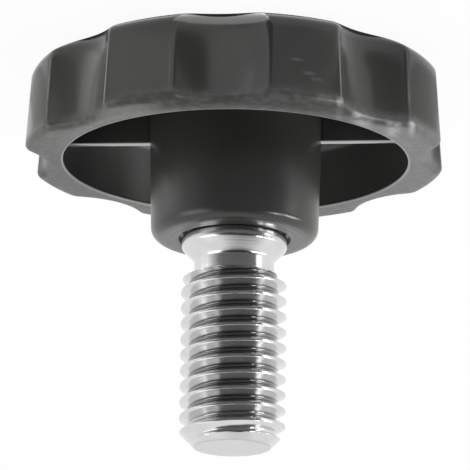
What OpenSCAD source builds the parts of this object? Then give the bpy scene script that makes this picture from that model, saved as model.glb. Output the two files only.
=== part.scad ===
// Threaded hand knob: a lobed, hollow plastic head moulded over a steel stud.
// The knob stands on its flat top. +Z runs along the stud towards its tip.

/* [Head] */
// Diameter over the lobes, where wall and rim would meet in a sharp edge
head_d = 40; // [34:1:60]
// Height from the flat top to the rim
head_h = 9.2; // [8:0.1:16]
// Draft of the lobes and scallops, in degrees
wall_draft = 3.3; // [0:0.1:6]
// Width of the bevel between the flat top and the lobes
bevel_w = 2.4; // [1.5:0.1:4]
// Height of that bevel
bevel_h = 1.3; // [0.8:0.1:2]
// Round between the flat top and the bevel
crown_round = 5.4; // [1:0.1:7]
// Round between the bevel and the lobes
top_round = 1.2; // [0.3:0.1:1.4]
// Round along the outer edge of the rim
rim_round = 0.75; // [0.3:0.05:1]

/* [Grip] */
// Number of lobes
lobe_count = 8; // [5:1:10]
// Depth of a scallop at the rim
scallop_depth = 1.85; // [1:0.05:2.4]
// Radius of a scallop in plan, at the rim
scallop_r = 7.1; // [5:0.1:9]
// Round where a scallop runs out on the top
scallop_round = 1.65; // [0.5:0.05:2]

/* [Hollow] */
// Diameter of the opening at the rim
opening_d = 32.6; // [26:0.2:33]
// Thickness of the top plate
plate_t = 2.8; // [2:0.1:4]
// Draft inside the hollow, in degrees
hollow_draft = 1.5; // [0:0.5:3]
// Round along the bottom of the hollow
hollow_round = 1; // [0.3:0.1:2]

/* [Hub] */
// Diameter of the hub at its end
hub_d = 15.7; // [13:0.1:18]
// How far the hub stands out past the rim
hub_out = 7.5; // [2:0.5:12]
// Round along the edge of the hub's end
hub_round = 1.1; // [0.3:0.1:1.5]
// Width of the relief in the hub's end, around the collar
relief_w = 0.3; // [0.2:0.05:0.6]
// Depth of that relief
relief_depth = 0.4; // [0.2:0.1:1]

/* [Ribs] */
// Number of ribs between hub and skirt
rib_count = 2; // [1:1:4]
// Thickness of a rib
rib_t = 1; // [0.6:0.1:2]
// How far the ribs stay below the rim
rib_drop = 2; // [0.5:0.1:4]

/* [Stud] */
// Length of stud past the hub
stud_l = 20; // [16:1:60]
// Major diameter of the thread as rolled
thread_d = 9.9; // [9:0.1:10]
// Pitch of the thread
pitch = 1.5; // [1:0.25:1.5]
// Length of the plain collar at the hub
collar_l = 0.9; // [0.5:0.05:3]
// Diameter of the relief neck between collar and thread
neck_d = 7.5; // [6.5:0.1:7.8]
// Length of the relief neck
neck_l = 1.35; // [0.5:0.05:3]
// Chamfer at the tip
tip_chamfer = 1.4; // [0.5:0.1:2]

/* [Anchor] */
// Diameter of the anchor inside the hub
anchor_d = 9.2; // [8.4:0.1:9.6]
// Length of the anchor inside the hub
anchor_l = 12; // [8:0.5:13]
// Width of the groove that the plastic locks into
lock_w = 2; // [1:0.1:3]
// Depth of that groove
lock_depth = 0.7; // [0.3:0.1:1]
// Number of flutes that keep the stud from turning
flute_count = 18; // [8:1:24]
// Radius of a flute
flute_r = 0.5; // [0.3:0.05:0.6]
// Plain length between the flutes and the hub's end
flute_gap = 2; // [1:0.5:3]

/* [Hidden] */
$fn = 96;
// Cutting shapes run past the faces they cut by this much
over = 1;
// A round runs this far past the face it fades into
fade = 0.01;

head_r = head_d / 2;
edge_r = head_r - (head_h - bevel_h) * tan(wall_draft);
opening_r = opening_d / 2;
hub_end = head_h + hub_out;
thread_r = thread_d / 2;
neck_r = neck_d / 2;
anchor_r = anchor_d / 2;

// Radii of the hub's wall, the hollow's wall and a scallop at a height
function hub_wall(z) = hub_d / 2 + (hub_end - z) * tan(hollow_draft);
function hollow_wall(z) = opening_r - (head_h - z) * tan(hollow_draft);
function scallop_wall(z) = scallop_r + (head_h - z) * tan(wall_draft);

// Places along the stud
taper_z = hub_end + collar_l;
neck_z = taper_z + thread_r - neck_r;
thread_z = neck_z + neck_l;
tip_z = hub_end + stud_l;
anchor_z = hub_end - anchor_l;

// Thread section: 60 degree flanks, a flat of an eighth of the pitch on each crest
crest_w = pitch / 8;
thread_depth = 0.6134 * pitch;
flank_w = thread_depth * tan(30);
turn_count = ceil((tip_z - thread_z) / pitch);

function unit(v) = v / norm(v);
function place(corner) = [corner.x, corner.y];

// Outline from a list of [x, y, round] corners that all bulge outwards.
// A round takes up at most half of the shorter side beside it.
module rounded_outline(corners) {
    n = len(corners);
    difference() {
        polygon([for (c = corners) place(c)]);
        for (i = [0:n - 1])
            if (corners[i].z > 0)
                corner_tip(corners[i], place(corners[(i + n - 1) % n]), place(corners[(i + 1) % n]));
    }
}

// What a round takes off a corner that lies between two others
module corner_tip(corner, before, after) {
    p = place(corner);
    back = unit(before - p);
    ahead = unit(after - p);
    half = acos(back * ahead) / 2;
    reach = min(corner.z / tan(half), norm(before - p) / 2, norm(after - p) / 2);
    centre = p + unit(back + ahead) * reach / cos(half);
    difference() {
        polygon([for (q = [centre, p + back * reach, p, p + ahead * reach]) 2 * q - centre]);
        translate(centre) circle(reach * tan(half) + fade);
    }
}

module head_outline()
    rounded_outline([
        [0, 0, 0],
        [edge_r - bevel_w, 0, crown_round],
        [edge_r, bevel_h, top_round],
        [head_r, head_h, rim_round],
        [0, head_h, 0]
    ]);

// Hub, with a relief that keeps its end clear of the collar
module hub_outline()
    difference() {
        rounded_outline([
            [0, 0, 0],
            [hub_wall(0), 0, 0],
            [hub_wall(hub_end), hub_end, hub_round],
            [0, hub_end, 0]
        ]);
        translate([0, hub_end - relief_depth]) square([thread_r + relief_w, relief_depth + over]);
    }

module hollow_outline()
    rounded_outline([
        [hub_wall(plate_t), plate_t, hollow_round],
        [hollow_wall(plate_t), plate_t, hollow_round],
        [hollow_wall(head_h + over), head_h + over, 0],
        [hub_wall(head_h + over), head_h + over, 0]
    ]);

// Cutter for one scallop: a cone that flares out at both ends to round the edges it leaves
module scallop_outline() {
    lean = [cos(wall_draft), sin(wall_draft)];
    top_z = scallop_round - fade;
    top = [scallop_wall(top_z) + scallop_round / lean.x, top_z];
    rim_z = head_h - rim_round + fade;
    rim = [scallop_wall(rim_z) + rim_round / lean.x, rim_z];
    difference() {
        polygon([
            [0, -over], [top.x, -over], top, top - scallop_round * lean,
            rim - rim_round * lean, rim, [rim.x, head_h + over], [0, head_h + over]
        ]);
        translate(top) circle(scallop_round);
        translate(rim) circle(rim_round);
    }
}

module scallops()
    for (i = [0:lobe_count - 1])
        rotate(360 * i / lobe_count)
            translate([head_r - scallop_depth + scallop_r, 0, 0])
                rotate_extrude() scallop_outline();

module ribs()
    for (i = [0:rib_count - 1])
        rotate(360 * i / rib_count)
            translate([0, -rib_t / 2, 0])
                cube([head_r, rib_t, head_h - rib_drop]);

// The open underside, parted by the ribs
module hollow()
    difference() {
        rotate_extrude() hollow_outline();
        ribs();
    }

// The buried end of the stud, with a locking groove and flutes
module anchor() {
    lock_r = anchor_r - lock_depth;
    lock_z = anchor_z + (anchor_l - lock_w) / 2;
    difference() {
        rotate_extrude()
            polygon([
                [0, anchor_z], [anchor_r, anchor_z], [anchor_r, lock_z], [lock_r, lock_z],
                [lock_r, lock_z + lock_w], [anchor_r, lock_z + lock_w], [anchor_r, hub_end], [0, hub_end]
            ]);
        for (i = [0:flute_count - 1])
            rotate(360 * i / flute_count)
                translate([anchor_r, 0, anchor_z - over])
                    cylinder(r = flute_r, h = anchor_l - flute_gap + over);
    }
}

// Section of the stud past the hub, its thread drawn as closed rings of the true section
module stud_outline()
    intersection() {
        polygon([
            [0, hub_end], [thread_r, hub_end], [thread_r, taper_z], [neck_r, neck_z], [neck_r, thread_z],
            for (i = [0:turn_count])
                let (z = thread_z + i * pitch)
                each [
                    [thread_r - thread_depth, z], [thread_r, z + flank_w],
                    [thread_r, z + flank_w + crest_w], [thread_r - thread_depth, z + 2 * flank_w + crest_w]
                ],
            [0, thread_z + (turn_count + 1) * pitch]
        ]);
        polygon([
            [0, hub_end], [thread_r, hub_end], [thread_r, tip_z - tip_chamfer],
            [thread_r - tip_chamfer, tip_z], [0, tip_z]
        ]);
    }

module knob_body()
    color("#2b2b2a")
        difference() {
            rotate_extrude() {
                head_outline();
                hub_outline();
            }
            hollow();
            scallops();
            anchor();
        }

module threaded_stud()
    color("#d3d5d6") {
        anchor();
        rotate_extrude() stud_outline();
    }

knob_body();
threaded_stud();
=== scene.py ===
"""Dresses the threaded hand knob: a moulded black head and a bright plated stud.

Sizes are in millimetres and match the part's source. Blender's objects are in metres.
"""
import math

import bpy
import numpy as np
from mathutils import Matrix, Vector


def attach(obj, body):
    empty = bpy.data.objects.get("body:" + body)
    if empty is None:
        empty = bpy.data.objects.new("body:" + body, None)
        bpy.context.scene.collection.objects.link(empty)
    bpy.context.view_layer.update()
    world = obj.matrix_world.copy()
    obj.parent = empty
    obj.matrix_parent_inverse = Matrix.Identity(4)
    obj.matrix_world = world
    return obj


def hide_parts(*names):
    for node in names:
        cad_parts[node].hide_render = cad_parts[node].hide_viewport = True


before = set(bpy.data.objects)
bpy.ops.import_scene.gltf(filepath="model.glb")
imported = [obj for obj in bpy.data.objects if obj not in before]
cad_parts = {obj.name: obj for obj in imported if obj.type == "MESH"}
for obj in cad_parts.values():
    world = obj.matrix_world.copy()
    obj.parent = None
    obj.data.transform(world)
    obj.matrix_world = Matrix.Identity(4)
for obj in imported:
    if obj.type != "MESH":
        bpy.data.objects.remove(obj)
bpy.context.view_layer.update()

MM = 0.001

# Head
HEAD_R = 20.0
HEAD_H = 9.2
WALL_DRAFT = math.tan(math.radians(3.3))
BEVEL_W = 2.4
BEVEL_H = 1.3
CROWN_ROUND = 5.4
TOP_ROUND = 1.2
RIM_ROUND = 0.75
EDGE_R = HEAD_R - (HEAD_H - BEVEL_H) * WALL_DRAFT

# Grip
LOBES = 8
SCALLOP_DEPTH = 1.85
SCALLOP_R = 7.1
SCALLOP_ROUND = 1.65
SCALLOP_AXIS = HEAD_R - SCALLOP_DEPTH + SCALLOP_R
LOBE_EDGE = 0.28

# Hollow, hub and ribs
OPENING_R = 16.3
PLATE_T = 2.8
HOLLOW_DRAFT = math.tan(math.radians(1.5))
HOLLOW_ROUND = 1.0
OPENING_EDGE = 0.22
HUB_R = 7.85
HUB_END = HEAD_H + 7.5
HUB_ROUND = 1.1
RELIEF_W = 0.3
RELIEF_DEPTH = 0.4
RELIEF_EDGE = 0.12
RIB_T = 1.0
RIB_DROP = 2.0
RIB_EDGE = 0.12
RIB_END_SUNK = 0.6
RIB_FOOT_SUNK = 0.8

# Stud
THREAD_R = 4.95
PITCH = 1.5
THREAD_DEPTH = 0.92
CREST_SHARE = 0.125
CREST_EDGE = 0.05
ROOT_EDGE = 0.07
COLLAR_L = 0.9
NECK_R = 3.75
NECK_L = 1.35
STUD_L = 20.0
TIP_CHAMFER = 1.4
ANCHOR_R = 4.6
ANCHOR_Z = HUB_END - 12.0
TAPER_Z = HUB_END + COLLAR_L
NECK_Z = TAPER_Z + THREAD_R - NECK_R
THREAD_Z = NECK_Z + NECK_L
TIP_Z = HUB_END + STUD_L
TIP_R = THREAD_R - TIP_CHAMFER
ROOT_R = THREAD_R - THREAD_DEPTH
# Where the helix starts, as a share of a turn
THREAD_START = -0.29
# Growth of the thread's radius over its height, where it runs out of the neck
RUN_OUT = 2.4
# Hidden faces of the stud stay this far off the plastic's, and thread points this far off both ends
CLEAR = 0.02

# How finely the meshes are divided: longest runs along a section, and columns around the stud
HEAD_RUN = 1.6
THREAD_RUN = 0.14
STUD_COLUMNS = 168
# Radii of the rings of points in the flat top
FLAT_RINGS = (3, 6, 9, 11.5)
# Points (radius, height) inside the skirt from which rays find its skin
CROWN_CORE = np.array([15.5, 1.8])
WALL_CORE = np.array([16.7, 2.4])
RIM_CORE = (16.8, 8.3)
# Angles, in degrees off a lobe's edge, of the columns that draw the edge
EDGE_COLUMNS = np.radians([-1.7, -1.2, -0.85, -0.55, -0.28, 0, 0.28, 0.55, 0.85, 1.2, 1.7])

# View of the photograph
VIEW_TURN = math.radians(-4.3)
VIEW_RISE = math.radians(16.22)
VIEW_ROLL = math.radians(0.7)
VIEW_DISTANCE = 316.8
VIEW_SIDE = -0.04
AIM_Z = HEAD_H + 7.01
FOCAL_PX = 3370.0
PICTURE_PX = 470.0
SENSOR_MM = 36.0


def toward(turn, rise):
    """Direction away from the knob, by an angle around its axis and an angle above the floor."""
    return Vector((math.sin(turn) * math.cos(rise), -math.cos(turn) * math.cos(rise), math.sin(rise)))


VIEW_BACK = toward(VIEW_TURN, VIEW_RISE)
VIEW_RIGHT = Vector((math.cos(VIEW_TURN), math.sin(VIEW_TURN), 0))
# The camera is turned over, so the picture's right is the view's left
PICTURE_RIGHT = -VIEW_RIGHT
PICTURE_FRONT = toward(VIEW_TURN, 0)


# Shader expressions

class Wire:
    """A node socket that takes part in Python expressions; each operator adds a Math node."""

    def __init__(self, tree, socket=None):
        self.tree = tree
        self.socket = socket

    def node(self, kind, settings=None, values=None, out=0):
        """Adds any node: its settings come first, then the values or links of its sockets."""
        made = self.tree.nodes.new(kind)
        for name, value in (settings or {}).items():
            setattr(made, name, value)
        for name, value in (values or {}).items():
            self.feed(made.inputs[name], value)
        return Wire(self.tree, made.outputs[out])

    def feed(self, socket, value):
        """Links a wire to a socket, or sets a plain value on it."""
        if isinstance(value, Wire):
            self.tree.links.new(value.socket, socket)
        else:
            socket.default_value = value

    def math(self, operation, first, second=0.0):
        """One Math node."""
        return self.node("ShaderNodeMath", {"operation": operation}, {0: first, 1: second})

    def __add__(self, other):
        return self.math("ADD", self, other)

    def __radd__(self, other):
        return self.math("ADD", other, self)

    def __sub__(self, other):
        return self.math("SUBTRACT", self, other)

    def __rsub__(self, other):
        return self.math("SUBTRACT", other, self)

    def __mul__(self, other):
        return self.math("MULTIPLY", self, other)

    def __rmul__(self, other):
        return self.math("MULTIPLY", other, self)

    def size(self):
        """The value without its sign."""
        return self.math("ABSOLUTE", self)

    def top(self, other):
        """The larger of two values."""
        return self.math("MAXIMUM", self, other)

    def root(self):
        """The square root."""
        return self.math("SQRT", self)

    def angle(self, other):
        """The angle, in degrees, of a point with this height over that width."""
        return self.math("ARCTAN2", self, other) * math.degrees(1)

    def near(self, place, reach):
        """1 at a value, falling smoothly to 0 at a distance from it."""
        return 1 - (self - place).size().ramp(0.0, reach)

    def ramp(self, low, high):
        """A smooth step from 0 at low to 1 at high."""
        settings = {"interpolation_type": "SMOOTHSTEP"}
        return self.node("ShaderNodeMapRange", settings, {"Value": self, "From Min": low, "From Max": high})

    def dot(self, vector):
        """Dot product of a vector wire with a fixed vector."""
        settings = {"operation": "DOT_PRODUCT"}
        return self.node("ShaderNodeVectorMath", settings, {0: self, 1: vector}, out="Value")

    def scaled(self, vector):
        """A vector wire times a fixed vector, axis by axis."""
        settings = {"operation": "MULTIPLY"}
        return self.node("ShaderNodeVectorMath", settings, {0: self, 1: vector})

    def noise(self, scale, detail):
        """Noise over a vector wire."""
        return self.node("ShaderNodeTexNoise", None, {"Vector": self, "Scale": scale, "Detail": detail})

    def between(self, first, second):
        """A colour between two, by this value."""
        return self.node("ShaderNodeMix", {"data_type": "RGBA"}, {0: self, 6: first, 7: second}, out=2)

    def bump(self, strength):
        """A normal from this value as a height."""
        return self.node("ShaderNodeBump", None, {"Strength": strength, "Distance": 0.0001, "Height": self})


def grey(value):
    """A neutral colour."""
    return (value, value, value, 1)


def new_material(name):
    """A node material, with its start wire, its shader and the place of a point in millimetres."""
    made = bpy.data.materials.new(name)
    made.use_nodes = True
    start = Wire(made.node_tree)
    shader = made.node_tree.nodes["Principled BSDF"]
    place = start.node("ShaderNodeTexCoord", out="Object").scaled((1000, 1000, 1000))
    return made, start, shader, place


# Outlines

def unit(v):
    """A vector brought to length 1."""
    return v / np.linalg.norm(v)


def rounded(corners, steps=8, closed=True):
    """Points of an outline through (x, y, round) corners, with each round drawn as an arc."""
    points = []
    count = len(corners)
    for i, (x, y, r) in enumerate(corners):
        p = np.array([x, y], float)
        at_end = not closed and i in (0, count - 1)
        if r == 0 or at_end:
            points.append(p)
            continue
        back = np.array(corners[i - 1][:2], float) - p
        ahead = np.array(corners[(i + 1) % count][:2], float) - p
        half = math.acos(unit(back) @ unit(ahead)) / 2
        reach = min(r / math.tan(half), np.linalg.norm(back) / 2, np.linalg.norm(ahead) / 2)
        centre = p + unit(unit(back) + unit(ahead)) * reach / math.cos(half)
        first = p + unit(back) * reach - centre
        last = p + unit(ahead) * reach - centre
        sweep = math.pi - 2 * half
        for k in range(steps + 1):
            t = k / steps
            turned = (math.sin((1 - t) * sweep) * first + math.sin(t * sweep) * last) / math.sin(sweep)
            points.append(centre + turned)
    return np.array(points)


def spread(profile, longest):
    """The same section with its long runs split."""
    points = [profile[0]]
    for p in profile[1:]:
        start = points[-1]
        parts = max(1, math.ceil(np.linalg.norm(p - start) / longest))
        points += [start + (p - start) * k / parts for k in range(1, parts + 1)]
    return np.array(points)


def distance_to(points, outline):
    """Distance of points from a closed outline, negative inside it."""
    a = outline
    b = np.roll(outline, -1, axis=0)
    side = b - a
    offset = points[:, None, :] - a[None]
    share = np.clip((offset * side).sum(-1) / (side * side).sum(-1), 0, 1)
    gap = np.sqrt(((offset - share[..., None] * side) ** 2).sum(-1).min(1))
    px = points[:, None, 0]
    py = points[:, None, 1]
    spans = (a[:, 1] > py) != (b[:, 1] > py)
    rise = np.where(side[:, 1] == 0, 1.0, side[:, 1])
    left = px < side[:, 0] * (py - a[:, 1]) / rise + a[:, 0]
    inside = (spans & left).sum(1) % 2 == 1
    return np.where(inside, -gap, gap)


def soft_max(a, b, k):
    """The larger of two distances, rounded where they are close."""
    near = np.maximum(k - np.abs(a - b), 0) / k
    return np.maximum(a, b) + near * near * k / 4


def soft_min(a, b, k):
    """The smaller of two sizes, rounded where they are close."""
    return -soft_max(-a, -b, k)


def mesh_piece(name, vertices, faces):
    """A smooth-shaded mesh object from points in millimetres."""
    mesh = bpy.data.meshes.new(name)
    mesh.from_pydata((np.asarray(vertices) * MM).tolist(), [], faces)
    mesh.validate()
    mesh.shade_smooth()
    piece = bpy.data.objects.new(name, mesh)
    bpy.context.scene.collection.objects.link(piece)
    return piece


# Knob head

HEAD_OUTLINE = rounded([
    (0, 0, 0),
    (EDGE_R - BEVEL_W, 0, CROWN_ROUND),
    (EDGE_R, BEVEL_H, TOP_ROUND),
    (HEAD_R, HEAD_H, RIM_ROUND),
    (0, HEAD_H, 0),
], steps=16)


def scallop_wall(z):
    """Radius of a scallop's own cone at a height."""
    return SCALLOP_R + (HEAD_H - z) * WALL_DRAFT


def scallop_outline():
    """Section of the hollow that one scallop leaves, from its own axis outwards, flared at both ends."""
    past = 3.0
    flare = 6.0
    steps = 20
    top_r = scallop_wall(0) + SCALLOP_ROUND + flare
    rim_r = scallop_wall(HEAD_H) + RIM_ROUND + flare
    points = [(0.0, -past), (top_r, -past), (top_r, 0.0)]
    for k in range(steps + 1):
        turn = math.pi / 2 * (1 - k / steps)
        z = SCALLOP_ROUND * (1 - math.sin(turn))
        points.append((scallop_wall(z) + SCALLOP_ROUND * (1 - math.cos(turn)), z))
    for k in range(steps + 1):
        turn = math.pi / 2 * k / steps
        z = HEAD_H - RIM_ROUND * (1 - math.sin(turn))
        points.append((scallop_wall(z) + RIM_ROUND * (1 - math.cos(turn)), z))
    points += [(rim_r, HEAD_H), (rim_r, HEAD_H + past), (0.0, HEAD_H + past)]
    return np.array(points)


SCALLOP_OUTLINE = scallop_outline()


def head_distance(radius, z, turn):
    """Distance from the head's skin at a radius, a height and an angle off the nearest scallop's middle."""
    revolve = distance_to(np.stack([radius, z], -1), HEAD_OUTLINE)
    off_axis = np.sqrt(radius ** 2 + SCALLOP_AXIS ** 2 - 2 * radius * SCALLOP_AXIS * np.cos(turn))
    cut = distance_to(np.stack([off_axis, z], -1), SCALLOP_OUTLINE)
    return soft_max(revolve, -cut, LOBE_EDGE)


def skirt_rays():
    """Rays in the head's section, from inside the skirt to its skin: origin and direction of each."""
    rays = [((r, 1.4), -90) for r in (13.4, 14.2, 14.9, 15.4)]
    crown_steps = 24
    for k in range(1, crown_steps):
        t = k / crown_steps
        rays.append((CROWN_CORE + (WALL_CORE - CROWN_CORE) * t, -90 + 90 * t))
    rays += [((WALL_CORE[0], z), 0) for z in np.linspace(WALL_CORE[1], 8.2, 10)]
    rays += [(RIM_CORE, angle) for angle in (3, 6, 9, 12, 15, 18, 21, 25, 30, 36, 43, 50, 57, 64, 72, 81)]
    rays += [(RIM_CORE, 90), ((16.65, RIM_CORE[1]), 90)]
    return rays


def lobe_edge_turn(z):
    """Angle off a scallop's middle at which its edge meets the lobe at a height."""
    z = min(max(z, 1.0), HEAD_H)
    r = np.interp(z, [BEVEL_H, HEAD_H], [EDGE_R, HEAD_R])
    s = scallop_wall(z)
    return math.acos((r * r + SCALLOP_AXIS ** 2 - s * s) / (2 * r * SCALLOP_AXIS))


def sector_turns(edge):
    """Angles of the columns from a scallop's middle to a lobe's middle, close together along the edge."""
    half = math.pi / LOBES
    scallop = (edge + EDGE_COLUMNS[0]) * np.linspace(0, 1, 8)[:-1]
    lobe = edge + EDGE_COLUMNS[-1] + (half - edge - EDGE_COLUMNS[-1]) * np.linspace(0, 1, 7)[1:]
    return np.concatenate([scallop, edge + EDGE_COLUMNS, lobe])


def skirt_rows():
    """Skin of the head over half a scallop and half a lobe: each row's radii, heights and angles."""
    skin_reach = 3
    rounds = 90
    rows = []
    for (r0, z0), angle in skirt_rays():
        dr = math.cos(math.radians(angle))
        dz = math.sin(math.radians(angle))
        turns = sector_turns(lobe_edge_turn(z0 + dz * skin_reach))
        reach = np.zeros_like(turns)
        for _ in range(rounds):
            reach -= head_distance(r0 + dr * reach, z0 + dz * reach, turns)
        rows.append((r0 + dr * reach, z0 + dz * reach, turns))
    return rows


def ring(radius, z, turns):
    """Points of one whole ring of the head, from its values over half a scallop and half a lobe."""
    points = []
    last = len(turns) - 1
    for k in range(LOBES):
        middle = 2 * math.pi * k / LOBES
        for j in range(last, 0, -1):
            points.append((radius[j], middle - turns[j], z[j]))
        for j in range(last):
            points.append((radius[j], middle + turns[j], z[j]))
    return [(r * math.cos(a), r * math.sin(a), h) for r, a, h in points]


def inner_profile():
    """Section of the hollow, the hub and the stud's socket, from the opening to the socket's floor."""
    rim_flat = 16.6
    hollow_foot = OPENING_R - (HEAD_H - PLATE_T) * HOLLOW_DRAFT
    hub_foot = HUB_R + (HUB_END - PLATE_T) * HOLLOW_DRAFT
    profile = rounded([
        (rim_flat, HEAD_H, 0),
        (OPENING_R, HEAD_H, OPENING_EDGE),
        (hollow_foot, PLATE_T, HOLLOW_ROUND),
        (hub_foot, PLATE_T, HOLLOW_ROUND),
        (HUB_R, HUB_END, HUB_ROUND),
        (THREAD_R + RELIEF_W, HUB_END, RELIEF_EDGE),
        (THREAD_R + RELIEF_W, HUB_END - RELIEF_DEPTH, 0),
        (ANCHOR_R, HUB_END - RELIEF_DEPTH, 0),
        (ANCHOR_R, ANCHOR_Z, 0),
        (0, ANCHOR_Z, 0),
    ], closed=False)
    return profile[1:-1]


def revolve_faces(first, second, count):
    """Quads between two rings whose points start at these indices."""
    return [
        (first + i, first + (i + 1) % count, second + (i + 1) % count, second + i)
        for i in range(count)
    ]


def knob_head():
    """The moulded head: flat top, lobed skirt, hollow, hub and socket as one closed skin."""
    rows = skirt_rows()
    top_turns = rows[0][2]
    rim_turns = rows[-1][2]
    flat = np.ones_like(top_turns)
    rings = [ring(flat * r, flat * 0.0, top_turns) for r in FLAT_RINGS]
    rings += [ring(*row) for row in rows]
    rings += [ring(flat * r, flat * z, rim_turns) for r, z in spread(inner_profile(), HEAD_RUN)]
    count = len(rings[0])
    vertices = [(0.0, 0.0, 0.0)]
    for points in rings:
        vertices += points
    vertices.append((0.0, 0.0, ANCHOR_Z))
    faces = [(0, 1 + (i + 1) % count, 1 + i) for i in range(count)]
    for k in range(len(rings) - 1):
        faces += revolve_faces(1 + k * count, 1 + (k + 1) * count, count)
    base = 1 + (len(rings) - 1) * count
    faces += [(base + i, base + (i + 1) % count, len(vertices) - 1) for i in range(count)]
    return mesh_piece("knob_head", vertices, faces)


def rib(side):
    """One thin rib between hub and skirt, its upper edges eased."""
    inner = HUB_R - RIB_END_SUNK
    outer = OPENING_R + RIB_END_SUNK
    foot = PLATE_T - RIB_FOOT_SUNK
    section = rounded([
        (-RIB_T / 2, foot, 0),
        (RIB_T / 2, foot, 0),
        (RIB_T / 2, HEAD_H - RIB_DROP, RIB_EDGE),
        (-RIB_T / 2, HEAD_H - RIB_DROP, RIB_EDGE),
    ], steps=4)
    count = len(section)
    vertices = [(side * x, side * y, z) for x in (inner, outer) for y, z in section]
    faces = revolve_faces(0, count, count)
    faces.append(tuple(range(count))[::-1])
    faces.append(tuple(range(count, 2 * count)))
    return mesh_piece("rib", vertices, faces)


def join_ribs(head):
    """Adds both ribs to the head's skin."""
    for side in (1, -1):
        added = rib(side)
        union = head.modifiers.new("rib", "BOOLEAN")
        union.operation = "UNION"
        union.solver = "EXACT"
        union.object = added
        bpy.context.view_layer.objects.active = head
        bpy.ops.object.modifier_apply(modifier=union.name)
        bpy.data.objects.remove(added)
    head.data.set_sharp_from_angle(angle=math.radians(38))


# Stud

# Section from the anchor to the thread, as (radius, height), its corners eased
STUD_BASE = [
    (ANCHOR_R - CLEAR, ANCHOR_Z + CLEAR),
    (ANCHOR_R - CLEAR, HUB_END - CLEAR),
    (THREAD_R, HUB_END - CLEAR),
    (THREAD_R, HUB_END + 0.3),
    (THREAD_R, TAPER_Z - 0.1),
    (THREAD_R - 0.03, TAPER_Z - 0.02),
    (THREAD_R - 0.1, TAPER_Z + 0.08),
    (NECK_R + 0.25, NECK_Z - 0.25),
    (NECK_R + 0.1, NECK_Z - 0.08),
    (NECK_R + 0.02, NECK_Z + 0.06),
    (NECK_R, NECK_Z + 0.2),
    (NECK_R, THREAD_Z - 0.15),
    (NECK_R, THREAD_Z),
]
# Section of the tip's face, from its eased edge inwards
STUD_TIP = [(TIP_R + 0.02, TIP_Z - 0.02), (TIP_R - 0.04, TIP_Z), (3.2, TIP_Z), (2.2, TIP_Z), (1.1, TIP_Z)]


def thread_section():
    """One turn of thread as (share of the pitch, depth below the crest), from root to root."""
    flank = THREAD_DEPTH * math.tan(math.radians(30)) / PITCH
    crest = CREST_SHARE / 2
    outline = rounded([
        (0, THREAD_DEPTH, 0),
        (0.5 - crest - flank, THREAD_DEPTH, ROOT_EDGE),
        (0.5 - crest, 0, CREST_EDGE),
        (0.5 + crest, 0, CREST_EDGE),
        (0.5 + crest + flank, THREAD_DEPTH, ROOT_EDGE),
        (1, THREAD_DEPTH, 0),
    ], steps=4, closed=False)
    return spread(outline, THREAD_RUN)[:-1]


def stud_limit(z):
    """Largest radius of the thread at a height: it starts from the neck and ends in the chamfer."""
    start = NECK_R + (z - THREAD_Z) * RUN_OUT
    end = THREAD_R - max(z - (TIP_Z - TIP_CHAMFER), 0)
    return min(start, end)


def thread_rows(section, shift):
    """Points (radius, height) of one column of thread, by their place along the helix."""
    rows = {}
    turn = -2
    z_turn = THREAD_Z + (turn + shift) * PITCH
    while z_turn <= TIP_Z:
        for k, (share, depth) in enumerate(section):
            z = z_turn + share * PITCH
            if THREAD_Z + CLEAR < z < TIP_Z - CLEAR:
                rows[turn * len(section) + k] = (soft_min(THREAD_R - depth, stud_limit(z), 0.06), z)
        turn += 1
        z_turn = THREAD_Z + (turn + shift) * PITCH
    return rows


def add_column(vertices, angle, points):
    """Adds (radius, height) points at an angle around the axis, and gives their indices."""
    first = len(vertices)
    vertices.extend((r * math.cos(angle), r * math.sin(angle), z) for r, z in points)
    return list(range(first, len(vertices)))


def strip_faces(left, right):
    """Quads between two columns of point indices."""
    return [(left[k], right[k], right[k + 1], left[k + 1]) for k in range(len(left) - 1)]


def threaded_stud():
    """The stud as one closed skin, its thread a true right-hand helix."""
    section = thread_section()
    vertices = []
    base_index = []
    row_index = []
    tip_index = []
    for j in range(STUD_COLUMNS):
        angle = 2 * math.pi * j / STUD_COLUMNS
        rows = thread_rows(section, THREAD_START + j / STUD_COLUMNS)
        base_index.append(add_column(vertices, angle, STUD_BASE))
        row_index.append(dict(zip(rows, add_column(vertices, angle, rows.values()))))
        tip_index.append(add_column(vertices, angle, STUD_TIP))
    foot = len(vertices)
    vertices.append((0.0, 0.0, ANCHOR_Z + CLEAR))
    tip = len(vertices)
    vertices.append((0.0, 0.0, TIP_Z))
    faces = []
    for j in range(STUD_COLUMNS):
        n = (j + 1) % STUD_COLUMNS
        faces.append((foot, base_index[n][0], base_index[j][0]))
        faces += strip_faces(base_index[j], base_index[n])
        # The last column meets the first one a whole turn further along the helix
        wrap = len(section) if n == 0 else 0
        left = row_index[j]
        right = {index - wrap: point for index, point in row_index[n].items()}
        shared = sorted(set(left) & set(right))
        low = shared[0]
        high = shared[-1]
        faces += strip_faces([left[k] for k in shared], [right[k] for k in shared])
        start = [base_index[j][-1], base_index[n][-1]]
        start += [right[k] for k in sorted(right) if k <= low]
        start += [left[k] for k in sorted(left, reverse=True) if k <= low]
        faces.append(tuple(start))
        end = [left[k] for k in sorted(left, reverse=True) if k >= high]
        end += [right[k] for k in sorted(right) if k >= high]
        end += [tip_index[n][0], tip_index[j][0]]
        faces.append(tuple(end))
        faces += strip_faces(tip_index[j], tip_index[n])
        faces.append((tip_index[j][-1], tip_index[n][-1], tip))
    piece = mesh_piece("plated_stud", vertices, faces)
    piece.data.set_sharp_from_angle(angle=math.radians(50))
    return piece


# Finishes

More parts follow.
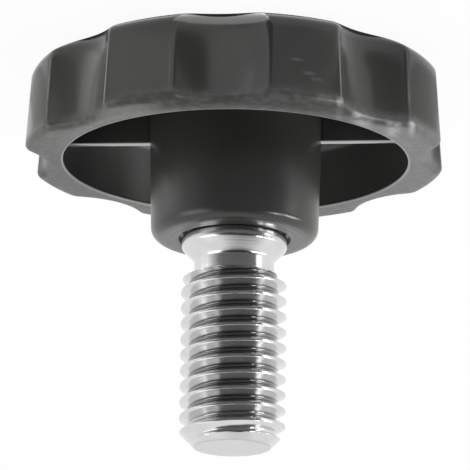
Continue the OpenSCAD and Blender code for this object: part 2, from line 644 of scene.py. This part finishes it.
PLASTIC_DARK = (0.027, 0.027, 0.026, 1)
PLASTIC_LIGHT = (0.034, 0.034, 0.029, 1)
# Pale grey for the rim's wear and for the painted highlights, glints and light patch
PLASTIC_WORN_AND_HIGHLIGHT = grey(0.42)
# Paler grey painted on the rib tops as their highlight
PLASTIC_RIB_HIGHLIGHT = grey(0.2)
PLATING_DARK = grey(0.64)
PLATING_LIGHT = grey(0.7)
PLATING_END = grey(0.4)
# Dark grey painted in the thread's roots as their shade
PLATING_ROOT_SHADE = grey(0.1)

# Marks on the near side: place across the picture, height, half width and half height
SCUFFS = [(5.4, 5.3, 0.9, 0.2), (6.4, 6.5, 0.9, 0.3), (7.2, 7.0, 0.7, 0.3), (8.0, 8.6, 1.3, 0.5)]
# Glints painted as pale spots by the rim and at the top of one lobe edge
GLINTS = [
    (9.3, 8.7, 0.5, 0.6),
    (11.4, 8.95, 1.4, 0.4),
    (14.4, 9.0, 1.0, 0.3),
    (16.1, 8.9, 0.5, 0.5),
    (2.7, 1.25, 0.25, 0.25),
]


def around(place):
    """The coordinates of a place, and its distance from the axis."""
    x = place.dot((1, 0, 0))
    y = place.dot((0, 1, 0))
    z = place.dot((0, 0, 1))
    return x, y, z, (x * x + y * y).root()


def lobe_edges(x, y, z):
    """1 along the edges between lobes and scallops, where highlight lines are painted."""
    pitch = 360 / LOBES
    turn = y.angle(x) + pitch / 2
    off = (turn.math("FLOORED_MODULO", turn, pitch) - pitch / 2).size()
    low = math.degrees(lobe_edge_turn(BEVEL_H))
    rim = math.degrees(lobe_edge_turn(HEAD_H))
    edge = low + (rim - low) / (HEAD_H - BEVEL_H) * (z - BEVEL_H)
    return (off - edge).near(0.0, 0.5) * z.ramp(BEVEL_H, BEVEL_H + 1) * (1 - z.ramp(HEAD_H - 0.6, HEAD_H))


def marks(place, spots):
    """1 at each of some marks on the near side."""
    side = place.dot(PICTURE_RIGHT)
    z = place.dot((0, 0, 1))
    front = place.dot(PICTURE_FRONT).ramp(8, 10)
    found = None
    for across, height, half_width, half_height in spots:
        spot = side.near(across, half_width) * z.near(height, half_height)
        found = spot if found is None else found.top(spot)
    return found * front


def black_plastic():
    """Satin moulded black plastic, greyer on the rim from wear and painted light, greyer in the hollow with
    a painted light patch, and with painted highlights on the opening's edge, the lobe edges, the rib tops
    and a few glints.
    """
    made, start, shader, place = new_material("black_plastic")
    x, y, z, radius = around(place)
    side = place.dot(PICTURE_RIGHT)
    ahead = place.dot(PICTURE_FRONT)
    # Where each part of the moulding is
    in_ring = radius.ramp(HUB_R, HUB_R + 0.3) * (1 - radius.ramp(OPENING_R - 0.3, OPENING_R))
    rib_top = in_ring * z.near(HEAD_H - RIB_DROP, 0.15) * (1 - y.size().ramp(0.4, 0.55))
    opening = radius.near(OPENING_R + 0.05, 0.22) * z.ramp(HEAD_H - 0.25, HEAD_H)
    skirt = radius.ramp(OPENING_R, OPENING_R + 0.2)
    rim = skirt * z.ramp(HEAD_H - 1.6, HEAD_H - 0.2)
    inside = (1 - radius.ramp(OPENING_R - 0.1, OPENING_R + 0.1)) * (1 - z.ramp(HEAD_H - 0.5, HEAD_H))
    inside = inside * radius.ramp(HUB_R + 0.2, HUB_R + 0.8)
    hub = 1 - radius.ramp(HUB_R + 0.2, HUB_R + 0.8)
    hub_end = hub * z.ramp(HUB_END - HUB_ROUND, HUB_END - HUB_ROUND / 2)
    # A painted patch of reflected light on the hollow's far wall, left of the hub
    painted_sheen_patch = inside * side.near(-9.2, 2.4) * (1 - ahead.ramp(-9, -5))
    # Lobe edges on the picture's sides, painted lighter below as highlight lines
    edges = skirt * lobe_edges(x, y, z) * side.size().ramp(6.5, 10)
    # The rim by the opening on the near side, painted lighter below as a highlight
    by_opening = (1 - radius.ramp(OPENING_R, OPENING_R + 1.8)) * ahead.ramp(0, 10)
    # How uneven it is
    cloud = place.noise(0.09, 3.0)
    grain = place.noise(5.0, 2.0)
    flow = place.scaled((1, 1, 0.25)).noise(0.5, 3.0)
    patchy = place.noise(0.35, 3.0).ramp(0.35, 0.65)
    broken = place.noise(1.3, 4.0).ramp(0.42, 0.62)
    uneven = 0.35 + 0.65 * place.noise(0.9, 2.0).ramp(0.35, 0.55)
    # Colour
    plain = cloud.ramp(0.3, 0.7).between(PLASTIC_DARK, PLASTIC_LIGHT)
    # Rim: uneven wear, plus painted light that is lighter towards the picture's sides, most to the right,
    # and by the opening
    rim_wear_and_painted_light = 0.05 + 0.07 * broken + 0.1 * side.ramp(8, 16) + 0.02 * side.ramp(-15, -9) + 0.16 * by_opening
    # Grey from rim wear, the hollow and the hub, plus the painted light on the rim and in the hollow
    greying_and_painted_light = rim * rim_wear_and_painted_light + inside * 0.075 + painted_sheen_patch * 0.26 + hub * 0.018
    greyed_with_painted_light = greying_and_painted_light.between(plain, PLASTIC_WORN_AND_HIGHLIGHT)
    # Painted highlights along the opening's edge and the lobe edges, broken up by noise
    painted_edge_highlights = (opening * 0.8).top(edges * (0.4 + 0.6 * patchy) * 0.3)
    # Scuffs on the near side, over the painted highlights
    scuffs_and_highlights = painted_edge_highlights.top(marks(place, SCUFFS) * uneven * 0.14)
    # Painted glints as pale spots over all the rest
    pale = scuffs_and_highlights.top(marks(place, GLINTS) * uneven).between(greyed_with_painted_light, PLASTIC_WORN_AND_HIGHLIGHT)
    # The rib tops are painted paler as their highlight
    start.feed(shader.inputs["Base Color"], rib_top.between(pale, PLASTIC_RIB_HIGHLIGHT))
    # Gloss
    start.feed(shader.inputs["Coat Weight"], rib_top)
    shader.inputs["Coat Roughness"].default_value = 0.1
    rough = 0.16 + 0.06 * flow + 0.2 * rim + 0.2 * inside + 0.12 * hub - 0.08 * hub_end - 0.2 * rib_top
    start.feed(shader.inputs["Roughness"], rough)
    rings = hub_end * radius.math("SINE", radius * 9)
    start.feed(shader.inputs["Normal"], (grain + 1.5 * rings).bump(0.06))
    return made


def plated_steel():
    """Bright plating over turned and rolled steel, with painted shade in the thread's roots, and darker on
    the tip's face.
    """
    made, start, shader, place = new_material("plated_steel")
    shader.inputs["Metallic"].default_value = 1.0
    _, _, z, radius = around(place)
    threaded = z.ramp(THREAD_Z - 0.1, THREAD_Z + 0.3) * (1 - z.ramp(TIP_Z - 3.0, TIP_Z - 1.6))
    # The thread's roots, darkened below as painted shade
    groove = threaded * (1 - radius.ramp(ROOT_R + 0.03, ROOT_R + 0.22))
    end = z.ramp(TIP_Z - 0.1, TIP_Z - 0.03)
    lines = place.scaled((0.05, 0.05, 6.0)).noise(1.6, 3.0)
    cloud = place.noise(0.5, 3.0)
    plain = cloud.ramp(0.3, 0.7).between(PLATING_DARK, PLATING_LIGHT)
    dulled = (end * 0.5).between(plain, PLATING_END)
    start.feed(shader.inputs["Base Color"], (groove * 0.75).between(dulled, PLATING_ROOT_SHADE))
    start.feed(shader.inputs["Roughness"], 0.13 + 0.08 * cloud)
    start.feed(shader.inputs["Normal"], lines.bump(0.08))
    return made


def seen_directly(start):
    """1 for rays that come from the camera, from a mirror-like surface or through a clear one."""
    path = "ShaderNodeLightPath"
    camera = start.node(path, out="Is Camera Ray")
    glossy = start.node(path, out="Is Glossy Ray")
    clear = start.node(path, out="Is Transmission Ray")
    return camera.top(glossy).top(clear)


def floor_finish():
    """A plain pale floor that shows white and keeps a soft shadow."""
    made = bpy.data.materials.new("pale_floor")
    made.use_nodes = True
    tree = made.node_tree
    start = Wire(tree)
    tree.nodes.remove(tree.nodes["Principled BSDF"])
    matt = start.node("ShaderNodeBsdfDiffuse", None, {"Color": grey(0.86)})
    white = start.node("ShaderNodeEmission", None, {"Color": grey(1), "Strength": 1.0})
    shown = start.node("ShaderNodeMixShader", None, {0: seen_directly(start) * 0.95, 1: matt, 2: white})
    start.feed(tree.nodes["Material Output"].inputs["Surface"], shown)
    return made


def dark_card_finish():
    """Matt dark grey that fades out at the card's sides and near the knob."""
    made, start, shader, place = new_material("dark_card")
    side = place.dot(PICTURE_RIGHT)
    ahead = place.dot(PICTURE_FRONT)
    turn = side.angle(ahead)
    reach = (side * side + ahead * ahead).root()
    band = reach.ramp(48, 60) * turn.ramp(-88, -36) * (1 - turn.ramp(62, 72))
    shader.inputs["Base Color"].default_value = grey(0.12)
    shader.inputs["Roughness"].default_value = 1.0
    shader.inputs["Specular IOR Level"].default_value = 0.0
    start.feed(shader.inputs["Alpha"], band)
    return made


def light_card_finish(name, light):
    """An even light of its own."""
    made = bpy.data.materials.new(name)
    made.use_nodes = True
    shader = made.node_tree.nodes["Principled BSDF"]
    shader.inputs["Base Color"].default_value = grey(0)
    shader.inputs["Specular IOR Level"].default_value = 0.0
    shader.inputs["Emission Color"].default_value = grey(1)
    shader.inputs["Emission Strength"].default_value = light
    return made


# Stage

DARK_CARD_Z = 0.3
UNDER_R = 17.6

# Flat cards around the knob that only its gloss shows: how light each one is, its height, and its corners
# by how far they lie to the picture's right and ahead of the knob
FLOOR_CARDS = [
    ("card_front", 3.4, 0.05, [(-5, 17.2), (-6, 19.6), (2.5, 20.4), (2.5, 17.5)]),
    ("card_near_left", 1.2, 0.05, [(-2.2, 21.2), (-0.2, 34.5), (-9, 35), (-9, 26)]),
    ("card_near_right", 0.15, 0.05, [(-1.7, 20.5), (0.6, 37), (8.2, 37), (4.4, 23.2), (1.2, 20.5)]),
    ("card_lobe_edge", 1.8, 0.05, [(-9.4, 26.5), (-9.4, 33), (-14, 36), (-16, 33.2), (-10, 25.2)]),
    ("card_left_lobe", 1.15, 0.05, [(-13.5, 17.5), (-25, 20), (-28.5, 25.5), (-16.5, 33), (-10, 25)]),
    ("card_right_lobe", 0.6, 0.05, [(4.7, 23), (8.5, 37), (19.5, 33), (18.5, 24), (14, 20.3), (8, 21)]),
    ("card_left_dark", 0.5, 0.05, [(-17.8, 11.8), (-20, 16), (-31, 21), (-34, 17.5), (-34, 13.2)]),
    ("card_left_light", 1.8, 0.05, [(-17.8, 10.6), (-34, 12.4), (-34, 5), (-18.6, 8.4)]),
    ("card_right_dark", 0.26, 0.05, [(16.8, 14.2), (21.4, 31), (28, 27), (31.5, 20), (18.5, 13.9)]),
    ("card_far_left", 0.6, 0.05, [(-21, 3), (-34, 0), (-34, -14), (-22, -8)]),
    ("card_far_right", 0.5, 0.05, [(21.5, 8), (36, 9), (37, -16), (22.5, -4)]),
    ("card_stud", 0.16, 10, [(-14, 17), (-40, 52), (60, 30), (22, 9)]),
    ("card_groove", 2.5, 10, [(22.5, 8.5), (60, 28), (64, 12), (23.5, 4)]),
    ("card_sparkle", 3.0, 0.5, [(59, 27), (135, 62), (148, 26), (65, 11)]),
    ("card_hub_left", 2.3, 0.05, [(-48.5, 13), (-65, 17.5), (-64, -21), (-48, -15.5)]),
]

# Soft lamps: angle from the camera to the picture's right, rise, distance, width and height, power
SOFTBOXES = [
    ("strip_right", 86, 24, 700, (260, 130), 1.7),
    ("lamp_right", 62, 30, 700, (110, 160), 1.0),
    ("window_left", -60, 25, 600, (400, 400), 0.7),
]


def photo_camera():
    """The camera of the photograph, turned over so that the stud points down in the picture."""
    up = VIEW_BACK.cross(VIEW_RIGHT)
    right = math.cos(VIEW_ROLL) * VIEW_RIGHT + math.sin(VIEW_ROLL) * up
    above = -math.sin(VIEW_ROLL) * VIEW_RIGHT + math.cos(VIEW_ROLL) * up
    place = Vector((0, 0, AIM_Z)) + VIEW_RIGHT * VIEW_SIDE + VIEW_BACK * VIEW_DISTANCE
    lens = bpy.data.cameras.new("photo_camera")
    lens.sensor_width = SENSOR_MM
    lens.lens = FOCAL_PX / PICTURE_PX * SENSOR_MM
    lens.clip_start = 0.01
    lens.clip_end = 20
    camera = bpy.data.objects.new("photo_camera", lens)
    turned = Matrix((-right, -above, VIEW_BACK)).transposed()
    camera.matrix_world = Matrix.Translation(place * MM) @ turned.to_4x4()
    bpy.context.scene.collection.objects.link(camera)
    bpy.context.scene.camera = camera


def pale_floor():
    """The floor that the knob stands on."""
    half = 3000.0
    vertices = [(-half, -half, 0), (half, -half, 0), (half, half, 0), (-half, half, 0)]
    floor = mesh_piece("pale_floor", vertices, [(0, 1, 2, 3)])
    floor.data.materials.append(floor_finish())


def studio_world():
    """White surroundings that fall off to dark on the camera's side of the studio."""
    world = bpy.data.worlds.new("studio")
    bpy.context.scene.world = world
    world.use_nodes = True
    start = Wire(world.node_tree)
    direction = start.node("ShaderNodeTexCoord", out="Generated")
    facing = direction.dot(toward(VIEW_TURN - math.radians(18), math.radians(5)))
    shade = facing.ramp(0.15, 0.8).between(grey(1), grey(0.04))
    start.feed(world.node_tree.nodes["Background"].inputs["Color"], shade)


def stage_card(name, vertices, faces, finish):
    """A card of the stage that shows in the gloss and nowhere else."""
    card = mesh_piece(name, vertices, faces)
    card.data.materials.append(finish)
    card.visible_camera = False
    card.visible_diffuse = False
    card.visible_shadow = False


def dark_card():
    """A dark fan in front of the knob, out of the picture, that gives the gloss its contrast."""
    steps = 24
    vertices = []
    for k in range(steps + 1):
        way = toward(VIEW_TURN - math.radians(-80 + 190 * k / steps), 0)
        for r in (20.5, 900):
            vertices.append((way.x * r, way.y * r, DARK_CARD_Z))
    faces = [(i, i + 1, i + 3, i + 2) for i in range(0, 2 * steps, 2)]
    stage_card("dark_card", vertices, faces, dark_card_finish())


def floor_card(name, light, height, corners):
    """A flat card of a lightness, from its corners to the picture's right and ahead of the knob."""
    places = [PICTURE_RIGHT * right + PICTURE_FRONT * ahead for right, ahead in corners]
    vertices = [(place.x, place.y, height) for place in places]
    stage_card(name, vertices, [tuple(range(len(vertices)))], light_card_finish(name, light))


def contact_shadow_card():
    """A dark round card under the knob, seen only in the gloss, that stands in for the shadow under its
    bevel and gives its contour.
    """
    turns = [math.radians(a) for a in range(0, 360, 6)]
    floor_card("contact_shadow_card", 0.05, 0.02, [(UNDER_R * math.sin(a), UNDER_R * math.cos(a)) for a in turns])


def softbox(name, turn, rise, distance, size, power):
    """A soft lamp facing the knob, at an angle from the camera towards the picture's right."""
    data = bpy.data.lights.new(name, "AREA")
    data.shape = "RECTANGLE"
    data.size = size[0] * MM
    data.size_y = size[1] * MM
    data.energy = power
    lamp = bpy.data.objects.new(name, data)
    back = toward(VIEW_TURN - math.radians(turn), math.radians(rise))
    target = Vector((0, 0, 12))
    lamp.location = (target + back * distance) * MM
    lamp.rotation_euler = back.to_track_quat("Z", "Y").to_euler()
    bpy.context.scene.collection.objects.link(lamp)


bpy.context.scene.view_settings.view_transform = "Standard"

photo_camera()
pale_floor()
studio_world()
dark_card()
contact_shadow_card()
for card in FLOOR_CARDS:
    floor_card(*card)
for lamp in SOFTBOXES:
    softbox(*lamp)

head = knob_head()
join_ribs(head)
head.data.materials.append(black_plastic())
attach(head, "root")
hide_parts("knob_body")

stud = threaded_stud()
stud.data.materials.append(plated_steel())
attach(stud, "root")
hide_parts("threaded_stud")
